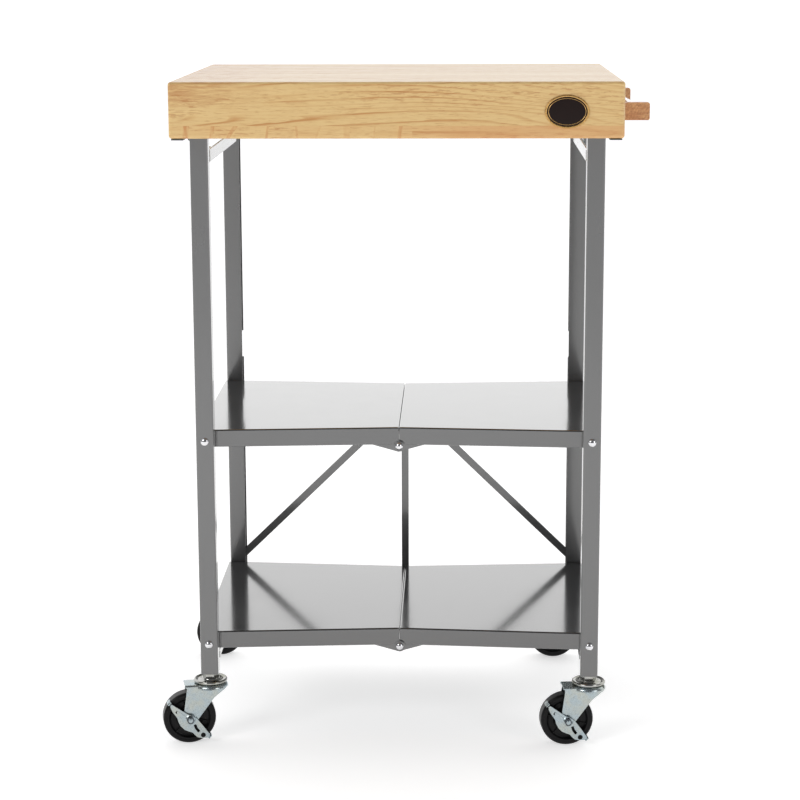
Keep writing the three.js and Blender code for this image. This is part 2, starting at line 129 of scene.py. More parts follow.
def rounded_polygon(corners, radii, steps=5):
    """A closed outline whose corners are rounded, each by its own radius."""
    points = []
    count = len(corners)
    for i, (corner, radius) in enumerate(zip(corners, radii)):
        here = Vector(corner)
        back = (Vector(corners[i - 1]) - here).normalized()
        ahead = (Vector(corners[(i + 1) % count]) - here).normalized()
        half = back.angle(ahead) / 2
        reach = radius / math.tan(half)
        start, end = here + back * reach, here + ahead * reach
        for k in range(steps + 1):
            t = k / steps
            points.append(tuple((start * (1 - t) + here * t) * (1 - t) + (here * (1 - t) + end * t) * t))
    return points


def lifted(axis, u, v, w):
    """A point (u, v) of an outline at w along the axis."""
    return {"X": (w, u, v), "Y": (u, w, v), "Z": (u, v, w)}[axis]


def bridge(bm, first, second):
    """Quads between two closed rings, or triangles where one of them is a single point."""
    count = max(len(first), len(second))
    for i in range(count):
        j = (i + 1) % count
        if len(first) == 1:
            bm.faces.new((first[0], second[i], second[j]))
        elif len(second) == 1:
            bm.faces.new((first[i], first[j], second[0]))
        else:
            bm.faces.new((first[i], first[j], second[j], second[i]))


def through_rings(rings, closed=False, capped=False):
    """A skin through rings of points: closed joins the last to the first, capped fills both ends."""
    bm = bmesh.new()
    loops = [[bm.verts.new(point) for point in ring] for ring in rings]
    for first, second in zip(loops, loops[1:] + (loops[:1] if closed else [])):
        bridge(bm, first, second)
    if capped:
        for end in (loops[0], loops[-1]):
            bm.faces.new(end)
    return bm


def prism(outline, low, high, edge=0.0, steps=2, axis="Y"):
    """An outline given thickness, its two rims rounded by edge."""
    bm = through_rings([[lifted(axis, u, v, w) for u, v in outline] for w in (low, high)], capped=True)
    if edge:
        bm.faces.ensure_lookup_table()
        rims = {e for cap in bm.faces[-2:] for e in cap.edges}
        soften(bm, rims, edge, steps)
    return bm


def soften(bm, edges, width, steps):
    """Rounds the given edges."""
    bmesh.ops.bevel(bm, geom=list(edges), offset=width, segments=steps, profile=0.5, affect="EDGES",
                    clamp_overlap=True)


def soften_sharp(bm, width, steps, angle):
    """Rounds every edge sharper than the angle."""
    bmesh.ops.recalc_face_normals(bm, faces=bm.faces)
    limit = math.radians(angle)
    edges = [e for e in bm.edges if e.is_manifold and e.calc_face_angle(0) > limit]
    soften(bm, edges, width, steps)
    return bm


def lathe(profile, centre=ORIGIN, segments=48, axis="Y", closed=False):
    """Points of (radius, along) turned around an axis. The centre's value along the axis isn't used."""
    across = Vector(centre)
    across["XYZ".index(axis)] = 0
    spin = [2 * math.pi * i / segments for i in range(segments)]
    rings = [[across + Vector(lifted(axis, radius * math.cos(a), radius * math.sin(a), along))
              for a in (spin if radius else [0])] for radius, along in profile]
    return through_rings(rings, closed)


def rounded_box(low, high, radius, steps=3):
    """A box between two corners with rounded edges."""
    bm = bmesh.new()
    bmesh.ops.create_cube(bm, size=1)
    low, high = Vector(low), Vector(high)
    bmesh.ops.scale(bm, vec=high - low, verts=bm.verts)
    bmesh.ops.translate(bm, vec=(low + high) / 2, verts=bm.verts)
    soften(bm, bm.edges, radius, steps)
    return bm


def joined(*parts):
    """Several meshes in one, each staying a closed shell of its own."""
    whole = bmesh.new()
    for part in parts:
        scratch = bpy.data.meshes.new("scratch")
        part.to_mesh(scratch)
        part.free()
        whole.from_mesh(scratch)
        bpy.data.meshes.remove(scratch)
    return whole


def scratch_object(bm):
    """A temporary object for a boolean; it uses up the mesh."""
    bmesh.ops.recalc_face_normals(bm, faces=bm.faces)
    mesh = bpy.data.meshes.new("scratch")
    bm.to_mesh(mesh)
    bm.free()
    obj = bpy.data.objects.new("scratch", mesh)
    bpy.context.scene.collection.objects.link(obj)
    return obj


def combined(body, tool, operation="DIFFERENCE"):
    """Boolean of two closed meshes; both are used up."""
    target, cutter = scratch_object(body), scratch_object(tool)
    boolean = target.modifiers.new("boolean", "BOOLEAN")
    boolean.operation = operation
    boolean.object = cutter
    boolean.solver = "EXACT"
    bpy.context.view_layer.update()
    result = bmesh.new()
    result.from_object(target, bpy.context.evaluated_depsgraph_get())
    for obj in (target, cutter):
        mesh = obj.data
        bpy.data.objects.remove(obj)
        bpy.data.meshes.remove(mesh)
    bmesh.ops.remove_doubles(result, verts=result.verts, dist=1e-3)
    bmesh.ops.dissolve_limit(result, angle_limit=math.radians(0.5), verts=result.verts, edges=result.edges)
    return result


def moved(bm, offset):
    bmesh.ops.translate(bm, vec=offset, verts=bm.verts)
    return bm


def turned(bm, axis, degrees):
    rotation = Matrix.Rotation(math.radians(degrees), 3, axis)
    bmesh.ops.rotate(bm, cent=ORIGIN, matrix=rotation, verts=bm.verts)
    return bm


def mirrored(bm):
    """The mesh mirrored in the plane X = 0, with its faces still outwards."""
    bmesh.ops.scale(bm, vec=(-1, 1, 1), verts=bm.verts)
    bmesh.ops.reverse_faces(bm, faces=bm.faces)
    return bm


def piece(name, bm, look, body, stands_for=(), sharp=38):
    """Finishes a mesh made in millimetres as a visible piece that rides on a body."""
    material, slot = LOOKS[look]
    bmesh.ops.scale(bm, vec=(MM, MM, MM), verts=bm.verts)
    bmesh.ops.recalc_face_normals(bm, faces=bm.faces)
    mesh = bpy.data.meshes.new(name)
    bm.to_mesh(mesh)
    bm.free()
    mesh.materials.append(material)
    mesh.shade_smooth()
    mesh.set_sharp_from_angle(angle=math.radians(sharp))
    obj = bpy.data.objects.new(name, mesh)
    bpy.context.scene.collection.objects.link(obj)
    normals = obj.modifiers.new("flat faces stay flat", "WEIGHTED_NORMAL")
    normals.keep_sharp = True
    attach(obj, body)
    if stands_for:
        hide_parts(*stands_for)
    return obj


# ---- material making ----
class Nodes:
    """One material's node tree, with a short name for each kind of node."""

    def __init__(self, name, **shader_values):
        self.material = bpy.data.materials.new(name)
        self.material.use_nodes = True
        self.tree = self.material.node_tree
        self.shader = self.tree.nodes["Principled BSDF"]
        for socket, value in shader_values.items():
            self.shader.inputs[socket.replace("_", " ")].default_value = value
        self.place = self.add("TexCoord")["Object"]      # on the object, in metres in the row frame

    def feed(self, socket, value):
        if isinstance(value, (int, float, tuple, Vector)):
            socket.default_value = value
        else:
            self.tree.links.new(value, socket)

    def add(self, kind, inputs=None, **settings):
        """A new node whose inputs, by name or number, are values or other outputs; gives its outputs."""
        node = self.tree.nodes.new("ShaderNode" + kind)
        for key, value in settings.items():
            setattr(node, key, value)
        for key, value in (inputs or {}).items():
            self.feed(node.inputs[key], value)
        return node.outputs

    def math(self, operation, a, b=0.0):
        return self.add("Math", {0: a, 1: b}, operation=operation)[0]

    def times(self, a, b):
        return self.math("MULTIPLY", a, b)

    def plus(self, a, b):
        return self.math("ADD", a, b)

    def minus(self, a, b):
        return self.math("SUBTRACT", a, b)

    def xyz(self):
        return self.add("SeparateXYZ", {0: self.place})

    def scaled(self, vector, scale):
        return self.add("Mapping", {"Vector": vector, "Scale": scale})[0]

    def noise(self, vector, scale, detail, rough=0.5):
        inputs = {"Vector": vector, "Scale": scale, "Detail": detail, "Roughness": rough}
        return self.add("TexNoise", inputs)[0]

    def stretched(self, vector, scale, detail, rough=0.5):
        """Noise with a scale of its own along each axis."""
        return self.noise(self.scaled(vector, scale), 1.0, detail, rough)

    def ramp(self, value, stops):
        node = self.tree.nodes.new("ShaderNodeValToRGB")
        node.color_ramp.interpolation = "EASE"
        elements = node.color_ramp.elements
        while len(elements) < len(stops):
            elements.new(0.5)
        for element, (place, level) in zip(elements, stops):
            element.position = place
            element.color = (level, level, level, 1)
        self.feed(node.inputs[0], value)
        return node.outputs[0]

    def step(self, value, start, end):
        """A soft step: 0 where the value is below start and 1 where it is above end."""
        return self.ramp(value, [(start, 0.0), (end, 1.0)])

    def spots(self, place, scale, detail, rough, start, end):
        """Stretched noise put through a soft step."""
        return self.step(self.stretched(place, scale, detail, rough), start, end)

    def mix(self, share, first, second):
        return self.add("Mix", {0: share, 6: first, 7: second}, data_type="RGBA")[2]

    def remap(self, value, low, high):
        """From low where the value is 0 to high where it is 1."""
        return self.add("MapRange", {"Value": value, "To Min": low, "To Max": high})[0]

    def between(self, value, start, end):
        """0 at start and 1 at end, and clamped outside."""
        return self.add("MapRange", {"Value": value, "From Min": start, "From Max": end})[0]

    def shuffled(self, index):
        """The place moved to fresh wood for each index, and three seeds from 0 to 1."""
        chance = self.add("TexWhiteNoise", {"W": index}, noise_dimensions="1D")["Color"]
        seeds = self.add("SeparateColor", {0: chance})
        away = self.add("CombineXYZ", {0: self.times(index, 3.7)})[0]
        fresh = self.add("VectorMath", {0: self.place, 1: away}, operation="ADD")[0]
        return fresh, seeds

    def bump(self, height, distance, strength):
        return self.add("Bump", {"Strength": strength, "Distance": distance, "Height": height})[0]

    def done(self, colour, roughness=None, normal=None):
        for socket, value in (("Base Color", colour), ("Roughness", roughness), ("Normal", normal)):
            if value is not None:
                self.feed(self.shader.inputs[socket], value)
        return self.material


def linear(*channels):
    """A colour given as display values from 0 to 1."""
    return tuple(c / 12.92 if c <= 0.04045 else ((c + 0.055) / 1.055) ** 2.4 for c in channels)


def rgba(*channels):
    return (*linear(*channels), 1.0)


PALE_WOOD = rgba(0.882, 0.757, 0.518)
MID_WOOD = rgba(0.797, 0.586, 0.331)
DARK_WOOD = rgba(0.70, 0.43, 0.19)
RED_WOOD = rgba(0.83, 0.57, 0.35)
RINGS_PER_METRE = 135
STAVE_WIDTH = 0.0438
SLAB_FRONT = 0.2631        # metres from the origin to the first stave's edge
CROSS_BLOCK = 0.036        # metres, width of the lower board's short blocks


def growth_rings(n, x, y, z, along, seeds):
    """Rings around a wandering pith below the board; returns how dark the late wood is."""
    drift = n.stretched(along, (1.3, 9, 9), 2.0, 0.45)
    swirl = n.stretched(along, (4.0, 34, 34), 4.0, 0.6)
    centre_x = n.minus(x, n.remap(seeds[0], -0.16, 0.16))
    sag = n.times(n.times(centre_x, centre_x), 0.30)
    rise = n.plus(sag, n.remap(seeds[1], 0.050, 0.075))
    wander = n.times(n.minus(drift, 0.5), 0.085)
    pith_z = n.plus(n.plus(z, rise), wander)
    pith_y = n.plus(y, n.remap(seeds[2], -0.03, 0.03))
    square = n.plus(n.times(pith_z, pith_z), n.times(pith_y, pith_y))
    radius = n.plus(n.math("SQRT", square), n.times(swirl, 0.0100))
    spacing = n.stretched(along, (0.4, 60, 60), 1.0)
    turn = n.plus(n.times(radius, RINGS_PER_METRE), n.times(spacing, 1.6))
    phase = n.math("FRACT", turn)
    late = n.ramp(phase, [(0.0, 0.05), (0.58, 0.10), (0.86, 1.0), (0.93, 0.85), (1.0, 0.05)])
    strength = n.ramp(n.stretched(along, (2.6, 26, 26), 3.0, 0.6), [(0.40, 0.06), (0.62, 1.0)])
    quiet_end = n.remap(n.between(x, 0.02, 0.16), 1.0, 0.45)
    return n.times(late, n.times(strength, quiet_end))


def grain(n, along, late):
    """Colour and pores of the wood: early and late wood, fibres, short dark strokes and fine pores."""
    fibres = n.spots(along, (16, 420, 420), 3.0, 0.65, 0.40, 0.75)
    strokes = n.spots(along, (48, 360, 360), 3.0, 0.65, 0.53, 0.62)
    patches = n.ramp(n.stretched(along, (4, 22, 22), 2.0, 0.5), [(0.42, 0.15), (0.64, 1.0)])
    pores = n.spots(along, (60, 900, 900), 2.0, 0.55, 0.56, 0.70)
    colour = n.mix(n.times(late, 0.90), PALE_WOOD, MID_WOOD)
    colour = n.mix(n.times(n.times(late, late), 0.45), colour, DARK_WOOD)
    colour = n.mix(n.times(fibres, 0.30), colour, MID_WOOD)
    colour = n.mix(n.times(n.times(strokes, patches), 0.50), colour, DARK_WOOD)
    colour = n.mix(n.times(pores, 0.42), colour, DARK_WOOD)
    return colour, pores


def upper_wood():
    """Lacquered rubberwood in long staves, with a warm streaky patch at the front left corner."""
    n = Nodes("upper board wood", Specular_IOR_Level=0.5, Coat_Weight=0.42, Coat_Roughness=0.2)
    x, y, z = n.xyz()
    index = n.math("FLOOR", n.math("DIVIDE", n.plus(y, SLAB_FRONT), STAVE_WIDTH))
    middle = n.times(n.plus(index, 0.5), STAVE_WIDTH)
    across = n.minus(n.plus(y, SLAB_FRONT), middle)
    along, seeds = n.shuffled(index)
    late = growth_rings(n, x, across, n.minus(z, 0.90), along, seeds)
    colour, pores = grain(n, along, late)
    behind = n.math("GREATER_THAN", index, 0.5)
    colour = n.mix(n.times(behind, n.remap(seeds[0], 0.0, 0.38)), colour, MID_WOOD)
    joint = n.math("GREATER_THAN", n.math("ABSOLUTE", across), STAVE_WIDTH / 2 - 0.0005)
    colour = n.mix(n.times(joint, 0.35), colour, DARK_WOOD)
    warm = n.times(n.between(x, -0.16, -0.29), n.between(z, 0.912, 0.926))
    streak = n.spots(along, (22, 240, 240), 4.0, 0.7, 0.38, 0.60)
    colour = n.mix(n.times(n.times(warm, streak), 0.55), colour, DARK_WOOD)
    roughness = n.plus(n.times(pores, 0.14), n.remap(late, 0.36, 0.44))
    height = n.minus(n.times(late, -0.35), pores)
    return n.done(colour, roughness, n.bump(height, 0.00012, 0.6))


def lower_wood():
    """The lower board: short slanted blocks at the front left, and redder wood to the right."""
    n = Nodes("lower board wood", Specular_IOR_Level=0.5, Coat_Weight=0.4, Coat_Roughness=0.24)
    x, y, z = n.xyz()
    stave = n.math("FLOOR", n.math("DIVIDE", n.plus(y, SLAB_FRONT), STAVE_WIDTH))
    wave = n.stretched(n.place, (11, 0, 0), 1.0)
    lean = n.times(n.minus(z, 0.883), n.remap(wave, -1.6, 1.9))
    slant = n.plus(n.minus(x, lean), n.times(wave, 0.06))
    count = n.math("DIVIDE", slant, CROSS_BLOCK)
    blocks = n.times(n.math("LESS_THAN", x, 0.02), n.math("LESS_THAN", stave, 0.5))
    block = n.times(n.math("FLOOR", count), blocks)
    index = n.plus(block, n.times(stave, 31.0))
    along, seeds = n.shuffled(index)
    late = growth_rings(n, x, n.times(y, 0.6), n.minus(z, 0.90), along, seeds)
    colour, pores = grain(n, along, n.times(late, n.remap(blocks, 1.0, 0.35)))
    redness = n.plus(n.remap(n.between(x, -0.03, 0.10), 0.05, 0.42), n.remap(seeds[1], 0.0, 0.14))
    colour = n.mix(redness, colour, RED_WOOD)
    edge = n.math("GREATER_THAN", n.math("FRACT", count), n.remap(seeds[2], 0.74, 0.97))
    worn = n.ramp(n.stretched(n.place, (300, 60, 60), 2.0), [(0.35, 0.3), (0.6, 1.0)])
    weight = n.times(n.remap(seeds[0], 0.15, 0.85), worn)
    joint = n.times(n.times(edge, blocks), weight)
    colour = n.mix(joint, colour, rgba(0.79, 0.52, 0.28))
    roughness = n.plus(n.times(pores, 0.14), n.remap(late, 0.38, 0.46))
    return n.done(colour, roughness, n.bump(pores, 0.00012, -0.6))


def end_stained_wood():
    """The towel bar's blocks: browner, with rings across their front ends."""
    n = Nodes("towel block wood", Specular_IOR_Level=0.4, Coat_Weight=0.2, Coat_Roughness=0.3)
    x, _, z = n.xyz()
    bend = n.stretched(n.place, (90, 6, 90), 3.0)
    square = n.plus(n.math("POWER", n.minus(x, 0.36), 2.0),
                    n.math("POWER", n.minus(z, 0.885), 2.0))
    radius = n.plus(n.math("SQRT", square), n.times(bend, 0.011))
    rings = n.ramp(n.math("FRACT", n.times(radius, 210.0)), [(0.0, 0.0), (0.7, 1.0), (1.0, 0.0)])
    pores = n.spots(n.place, (330, 60, 330), 3.0, 0.6, 0.50, 0.62)
    colour = n.mix(n.times(rings, 0.38), rgba(0.87, 0.67, 0.47), rgba(0.70, 0.46, 0.29))
    streaks = n.spots(n.place, (60, 20, 300), 3.0, 0.6, 0.42, 0.60)
    colour = n.mix(n.times(streaks, 0.55), colour, rgba(0.72, 0.47, 0.30))
    colour = n.mix(n.times(pores, 0.30), colour, rgba(0.52, 0.30, 0.17))
    height = n.minus(n.times(rings, -0.3), pores)
    return n.done(colour, n.remap(pores, 0.42, 0.6), n.bump(height, 0.00012, 0.6))


def steel_paint(name, shade, gloss, coat_ior=1.8):
    """Glossy grey metallic paint under a clear coat: orange peel, fine flake and a few paler scuffs."""
    n = Nodes(name, Metallic=0.80, Coat_Weight=1.0, Coat_Roughness=0.10, Coat_IOR=coat_ior)
    peel = n.noise(n.place, 420.0, 2.0, 0.4)
    fleck = n.noise(n.place, 2600.0, 1.0, 0.5)
    wear = n.stretched(n.place, (38, 38, 14), 5.0, 0.62)
    dull, bright, scuff = (rgba(*[min(1, shade * k)] * 3) for k in (0.965, 1.04, 1.16))
    colour = n.mix(n.step(fleck, 0.35, 0.75), dull, bright)
    scuffed = n.times(n.step(wear, 0.66, 0.74), 0.07)
    colour = n.mix(scuffed, colour, scuff)
    smear = n.stretched(n.place, (25, 25, 9), 3.0)
    return n.done(colour, n.remap(smear, gloss - 0.04, gloss + 0.07), n.bump(peel, 0.00002, 0.35))


def plated(name, shade, tint, rough, streak_axis=(6, 6, 6), spangle=0.0):
    """Bright plating: fine brushing, faint spots and, for zinc, a soft blue to yellow cast."""
    n = Nodes(name, Metallic=1.0)
    brushed = n.noise(n.scaled(n.place, streak_axis), 120.0, 4.0, 0.7)
    cloud = n.noise(n.place, 55.0, 3.0, 0.55)
    colour = n.mix(n.step(cloud, 0.34, 0.70), rgba(*shade), rgba(*tint))
    if spangle:
        spots = n.noise(n.place, 420.0, 2.0, 0.5)
        colour = n.mix(n.times(n.step(spots, 0.55, 0.72), spangle), colour,
                       rgba(0.45, 0.46, 0.47))
    roughness = n.remap(brushed, rough * 0.7, rough * 1.5)
    return n.done(colour, roughness, n.bump(brushed, 0.00003, 0.35))


def hard_rubber():
    """Black moulded wheel: satin, with dust in the texture and scuffs on the tread."""
    n = Nodes("hard black rubber", Specular_IOR_Level=0.22)
    texture = n.noise(n.place, 1500.0, 2.0, 0.6)
    dust = n.noise(n.place, 90.0, 5.0, 0.65)
    colour = n.mix(n.times(n.step(dust, 0.45, 0.80), 0.5),
                   rgba(0.022, 0.020, 0.022), rgba(0.08, 0.076, 0.076))
    return n.done(colour, n.remap(dust, 0.26, 0.44), n.bump(texture, 0.00005, 0.4))


def enamel(name, colour, rough, metallic, shine=0.5):
    """A smooth coloured or metal coat with a faint cloud in it."""
    n = Nodes(name, Metallic=metallic, Specular_IOR_Level=shine)
    cloud = n.noise(n.place, 160.0, 4.0, 0.6)
    shade = n.mix(cloud, rgba(*[c * 0.82 for c in colour]), rgba(*[min(1, c * 1.12) for c in colour]))
    return n.done(shade, n.remap(cloud, rough * 0.8, rough * 1.4), n.bump(cloud, 0.00005, 0.4))


LOOKS = {
    "upper_wood": (upper_wood(), "honey_wood"),
    "lower_wood": (lower_wood(), "honey_wood"),
    "towel_wood": (end_stained_wood(), "brown_wood"),
    "grey": (steel_paint("grey metallic paint", 0.375, 0.28), "grey_paint"),
    "strap": (steel_paint("dark strap paint", 0.28, 0.34), "grey_paint"),
    "shelf": (steel_paint("glossy shelf paint", 0.33, 0.15, 1.85), "shelf_paint"),
    "chrome": (plated("chrome plate", (0.90, 0.90, 0.91), (0.84, 0.84, 0.85), 0.07), "chrome"),
    "cup": (plated("bright cup plate", (0.70, 0.70, 0.69), (0.61, 0.61, 0.57), 0.12), "chrome"),
    "zinc": (plated("bright zinc plate", (0.67, 0.72, 0.74), (0.71, 0.73, 0.71), 0.24, (6, 6, 2), 0.3),
             "zinc"),
    # Zinc drawn darker for the front axle nuts: painted shade of the recess round the axle's front end.
    "recess_shaded_zinc": (plated("zinc with painted recess shade", (0.33, 0.35, 0.37), (0.25, 0.26, 0.27), 0.20), "zinc"),
    "rubber": (hard_rubber(), "black_rubber"),
    "plaque_field": (enamel("brown enamel", (0.11, 0.055, 0.045), 0.30, 0.0, 0.2), "plaque"),
    "plaque_rim": (enamel("gold rim", (0.78, 0.62, 0.38), 0.25, 0.9), "plaque"),
}


# ---- shapes that several pieces share ----
def quarter(radius, steps=6):
    """Points (inwards, upwards) of a rounded edge, from its side to its top."""
    turns = [math.pi / 2 * i / steps for i in range(steps + 1)]
    return [(radius * (1 - math.cos(t)), radius * math.sin(t)) for t in turns]


def sheet_outline(path, thick, bend):
    """The outline of a bent sheet whose middle line follows the path."""
    points = [Vector(p) for p in path]
    sides = ([], [])
    radii = ([], [])
    for i, point in enumerate(points):
        before = (point - points[i - 1]).normalized() if i else None
        after = (points[i + 1] - point).normalized() if i + 1 < len(points) else None
        first, second = before or after, after or before
        normal = Vector((-first.y, first.x)) + Vector((-second.y, second.x))
        normal /= max(normal.length_squared / 2, 1e-9)
        turn = first.x * second.y - first.y * second.x
        for k, way in enumerate((1, -1)):
            sides[k].append(tuple(point + normal * way * thick / 2))
            ends = before is None or after is None
            inside = turn * way > 0
            radii[k].append(thick * 0.25 if ends else (bend if inside else bend + thick))
    return rounded_polygon(sides[0] + sides[1][::-1], radii[0] + radii[1][::-1])


def link_outline(start, end, eye):
    """A flat bar with a round eye of radius eye at each end, as an outline in X and Z."""
    along = math.degrees(math.atan2(end.z - start.z, end.x - start.x))
    meet = math.degrees(math.asin(BAR_HALF_WIDTH / eye))
    return (arc(start.x, start.z, eye, along + meet, along + 360 - meet, 20)
            + arc(end.x, end.z, eye, along - 180 + meet, along + 180 - meet, 20))


def hex_outline(cx, cz, across_flats):
    """A hexagon with slightly rounded corners."""
    radius = across_flats / 2 / math.cos(math.pi / 6)
    corners = [(cx + radius * math.cos(math.radians(a)), cz + radius * math.sin(math.radians(a)))
               for a in range(0, 360, 60)]
    return rounded_polygon(corners, [0.5] * 6, 3)


def nut(centre, across_flats, start, end):
    """A hexagon nut or bolt head along Y."""
    return prism(hex_outline(centre[0], centre[2], across_flats), *sorted((start, end)), 0.45)


def dome(radius, height, base, way, steps=7):
    """Profile of a domed head from its rim to its crown; way is the direction along the axis."""
    rim = [(radius * 0.97, base), (radius, base + way * 0.35)]
    curve = [(radius * math.cos(math.pi / 2 * i / steps), base + way * (0.35 + (height - 0.35)
              * math.sin(math.pi / 2 * i / steps))) for i in range(1, steps)]
    return rim + curve + [(0, base + way * height)]


def cylinder_y(centre, radius, start, end, segments=48):
    """A plain cylinder along Y."""
    low, high = sorted((start, end))
    return lathe([(0, low), (radius, low), (radius, high), (0, high)], centre, segments)


def shank(centre, start, end):
    """The stem of a bolt, pin or rivet along Y."""
    return cylinder_y(centre, SHANK_RADIUS, start, end, 24)


def row_ends(low, high, way):
    """The inner and outer ends along Y of a piece in the front row (way -1) or the rear one (way 1)."""
    return (high.y, low.y) if way < 0 else (low.y, high.y)


# ---- wooden slab, plaque and towel bar ----
def board(low, high, levels):
    """A board whose plan outline is drawn in by each level's inset."""
    rings = []
    for inset, z in levels:
        plan = rounded_rectangle(low.x + inset, low.y + inset, high.x - inset, high.y - inset,
                                 max(SLAB_CORNER - inset, 0.4))
        rings.append([(x, y, z) for x, y in plan])
    return through_rings(rings, capped=True)


def add_slab():
    seam = 0.12
    low, high = span("slab_upper")
    joint_z = low.z
    rounding = [(inset, high.z - SLAB_EDGE + rise) for inset, rise in quarter(SLAB_EDGE)]
    upper = board(low, high, [(seam, low.z), (0, low.z + seam)] + rounding)
    piece("slab_upper_board", upper, "upper_wood", "top", ["slab_upper"])
    low, high = span("slab_lower")
    rounding = [(inset, low.z + SLAB_EDGE - rise) for inset, rise in quarter(SLAB_EDGE)]
    lower = board(low, high, rounding[::-1] + [(0, joint_z - seam), (seam, joint_z)])
    piece("slab_lower_board", lower, "lower_wood", "top", ["slab_lower"])


def add_plaque():
    """A plain oval plaque: a brown field inside a rounded gold rim, and a fine inner line."""
    low, high = span("plaque")
    centre = (low + high) / 2
    half_width, half_height = (high.x - low.x) / 2, (high.z - low.z) / 2
    steps = 96
    turns = [2 * math.pi * i / steps for i in range(steps)]

    def ovals(levels):
        """An oval for each level's inset and Y."""
        return [[(centre.x + (half_width - inset) * math.cos(t), y,
                  centre.z + (half_height - inset) * math.sin(t)) for t in turns] for inset, y in levels]

    back, rise = high.y, high.y - low.y
    bead = [(1.5 - 1.5 * math.cos(t), back - 0.4 - (rise - 0.4) * math.sin(t))
            for t in [math.pi * i / 12 for i in range(13)]]
    rim = through_rings(ovals([(0, back)] + bead + [(3.0, back)]), closed=True)
    piece("plaque_rim", rim, "plaque_rim", "top", ["plaque"])
    dips = [(2.6, 0), (2.6, 0.8), (3.2, 0.9), (12.0, 1.05), (22.0, 1.1)]
    field = through_rings(ovals([(inset, back - dip) for inset, dip in dips]), capped=True)
    piece("plaque_field", field, "plaque_field", "top")
    dips = [(4.6, 0.7), (4.6, 1.1), (4.9, 1.22), (5.2, 1.1), (5.2, 0.7)]
    line = through_rings(ovals([(inset, back - dip) for inset, dip in dips]), closed=True)
    piece("plaque_inner_line", line, "plaque_rim", "top")


def add_towel_bar():
    rod_low, rod_high = span("towel_rod")
    rod = (rod_low + rod_high) / 2
    radius = (rod_high.x - rod_low.x) / 2
    for row, way in ROWS.items():
        low, high = span(f"towel_block_{row}")
        block = prism(rounded_rectangle(low.x, low.z, high.x, high.z, 2.2), low.y, high.y, 1.2, 3)
        rod_end, inner_face = (rod_low.y, high.y) if way < 0 else (rod_high.y, low.y)
        hole = cylinder_y(rod, radius + 0.15, rod_end + way * 0.4, inner_face - way * 1)
        piece(f"towel_block_{row}_wood", combined(block, hole), "towel_wood", "top",
              [f"towel_block_{row}"])
    profile = [(0, rod_low.y), (radius - 0.8, rod_low.y), (radius, rod_low.y + 0.8),
               (radius, rod_high.y - 0.8), (radius - 0.8, rod_high.y), (0, rod_high.y)]
    piece("towel_rod_chrome", lathe(profile, rod), "chrome", "top", ["towel_rod"])


# ---- hinge and rest between the slab and the frames ----
def add_straps():
    """The two straps under the slab, their screws and the hinge knuckles."""
    hinge = PIVOT["top_lift"]
    low, high = span("hinge_strap")
    strap_low = high.z - STRAP_THICK
    pin_low, pin_high = span("hinge_bracket_front")
    half = (pin_high.y - pin_low.y) / 2
    inner_edge = high.x if high.x < hinge.x else hinge.x + 1
    parts = [rounded_box((low.x, low.y, strap_low), (inner_edge, high.y, high.z), 0.5)]
    for row in ROWS:
        knuckle_low, knuckle_high = span(f"hinge_bracket_{row}")
        centre = (knuckle_low.y + knuckle_high.y) / 2
        for way in (-1, 1):
            near, far = centre + way * (half / 2 + 0.3), centre + way * half
            ring = [(1.9, near), (3.6, near), (3.6, far), (1.9, far)]
            parts.append(lathe(ring, hinge, 32, closed=True))
    piece("hinge_strap_steel", joined(*parts), "strap", "top", ["hinge_strap"])
    rest_low, rest_high = span("rest_strap")
    piece("rest_strap_steel", rounded_box(rest_low, rest_high, 0.5), "strap", "top", ["rest_strap"])
    for name, x in (("hinge", (low.x + hinge.x - 3.6) / 2), ("rest", (rest_low.x + rest_high.x) / 2)):
        screws = []
        for step in (-0.86, -0.45, 0, 0.45, 0.86):
            y = (rest_low.y + rest_high.y) / 2 + step * (rest_high.y - rest_low.y) / 2
            head = [(0, strap_low + 0.2)] + dome(3.2, 1.6, strap_low + 0.1, -1)
            screws.append(lathe(head, (x, y, 0), 28, "Z"))
        piece(f"{name}_strap_screws", joined(*screws), "zinc", "top")


def add_hinge_brackets():
    hinge = PIVOT["top_lift"]
    for row in ROWS:
        node = f"hinge_bracket_{row}"
        low, high = span(node)
        centre, half = (low.y + high.y) / 2, (high.y - low.y) / 2
        knuckle = half / 2
        shelf = low.z + 17
        path = [(high.x - 1, low.z), (high.x - 1, shelf), (hinge.x + 1.9, shelf), (hinge.x + 1.9, hinge.z)]
        outline = sheet_outline(path, BRACKET_SHEET, SHEET_BEND)
        sheet = prism(outline, centre - knuckle, centre + knuckle, 0.3)
        ring = [(HINGE_PIN_RADIUS, centre - knuckle), (KNUCKLE_RADIUS, centre - knuckle),
                (KNUCKLE_RADIUS, centre + knuckle), (HINGE_PIN_RADIUS, centre + knuckle)]
        barrel = lathe(ring, hinge, 32, closed=True)
        rear_end = dome(HINGE_PIN_RADIUS, 0.8, centre + half - 0.8, 1, 4)
        front_end = dome(HINGE_PIN_RADIUS, 0.8, centre - half + 0.8, -1, 4)
        pin = lathe(front_end[::-1] + rear_end, hinge, 24)
        piece(node + "_steel", joined(sheet, barrel, pin), "zinc", "frame_left", [node])


def add_rest_bracket():
    low, high = span("rest_bracket")
    path = [(low.x + 1, low.z), (low.x + 1, high.z - 1), (high.x, high.z - 1)]
    sheet = prism(sheet_outline(path, BRACKET_SHEET, SHEET_BEND), low.y, high.y, 0.3)
    piece("rest_bracket_steel", sheet, "zinc", "frame_right", ["rest_bracket"])


